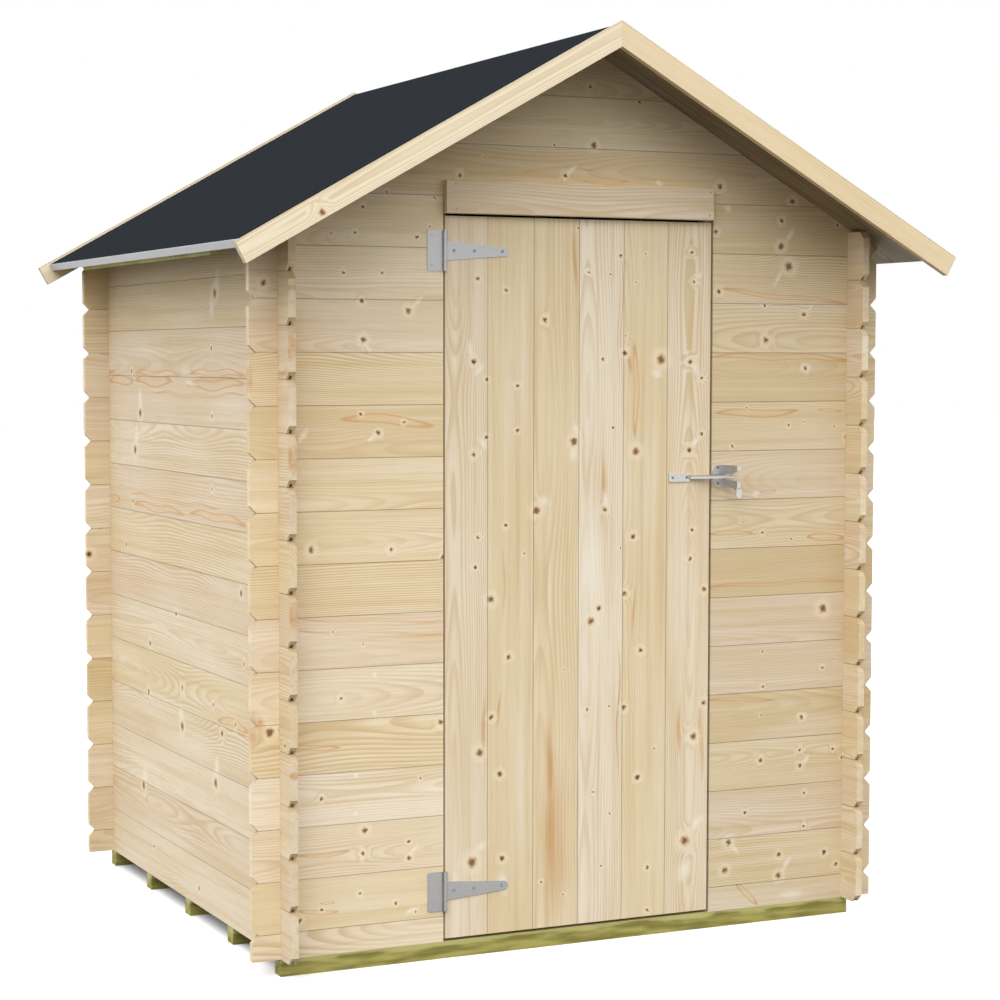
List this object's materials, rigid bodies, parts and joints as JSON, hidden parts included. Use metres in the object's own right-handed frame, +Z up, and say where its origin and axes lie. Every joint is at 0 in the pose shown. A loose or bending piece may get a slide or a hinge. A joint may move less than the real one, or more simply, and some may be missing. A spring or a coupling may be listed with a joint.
{
  "type": "garden shed",
  "caption": "Small wooden garden shed of interlocking notched boards, with a felted gable roof, a ledged and braced plank door on strap hinges and a gate latch.",
  "frame": {"origin": "centre of the overall box, on the ground under the bearers", "axes": "+X to the right seen from the door side, +Y from the door side to the back, +Z up"},
  "size_m": [1.8674, 1.628, 2.1734],
  "materials": {
    "spruce": "planed, untreated",
    "treated_timber": "sawn, pressure treated",
    "roofing_felt": "mineral-surfaced, matt",
    "eaves_strip": "light grey, satin",
    "galvanised_steel": "zinc-coated, satin"
  },
  "bodies": {
    "shed": {"bearer_1": "treated_timber", "bearer_2": "treated_timber", "bearer_3": "treated_timber", "bearer_4": "treated_timber", "bearer_5": "treated_timber", "floor_boards": "spruce", "left_wall_boards": "spruce", "right_wall_boards": "spruce", "back_wall_boards": "spruce", "front_wall_left_boards": "spruce", "front_wall_right_boards": "spruce", "front_gable_boards": "spruce", "ridge_beam": "spruce", "door_jamb_left": "spruce", "door_jamb_right": "spruce", "door_header": "spruce", "roof_boards_left": "spruce", "roof_boards_right": "spruce", "roof_felt_left": "roofing_felt", "eaves_trim_left": "eaves_strip", "eaves_batten_left": "treated_timber", "barge_front_left": "spruce", "barge_back_left": "spruce", "roof_felt_right": "roofing_felt", "eaves_trim_right": "eaves_strip", "eaves_batten_right": "treated_timber", "barge_front_right": "spruce", "barge_back_right": "spruce", "hinge_lower_leaf": "galvanised_steel", "hinge_upper_leaf": "galvanised_steel", "latch_keeper": "galvanised_steel"},
    "door": {"door_planks": "spruce", "door_ledge_lower": "spruce", "door_ledge_upper": "spruce", "door_brace": "spruce", "hinge_lower_strap": "galvanised_steel", "hinge_upper_strap": "galvanised_steel", "latch_bar": "galvanised_steel"},
    "pawl": {"latch_pawl": "galvanised_steel"}
  },
  "joints": [
    {"name": "door_swing", "type": "hinge", "parent": "shed", "child": "door", "pos_m": [-0.3575, -0.624, 0.907], "axis": [0, 0, -1], "range_deg": [0, 140]},
    {"name": "pawl_turn", "type": "hinge", "parent": "shed", "child": "pawl", "pos_m": [0.39395, -0.668, 1.098], "axis": [1, 0, 0], "range_deg": [0, 90]}
  ]
}
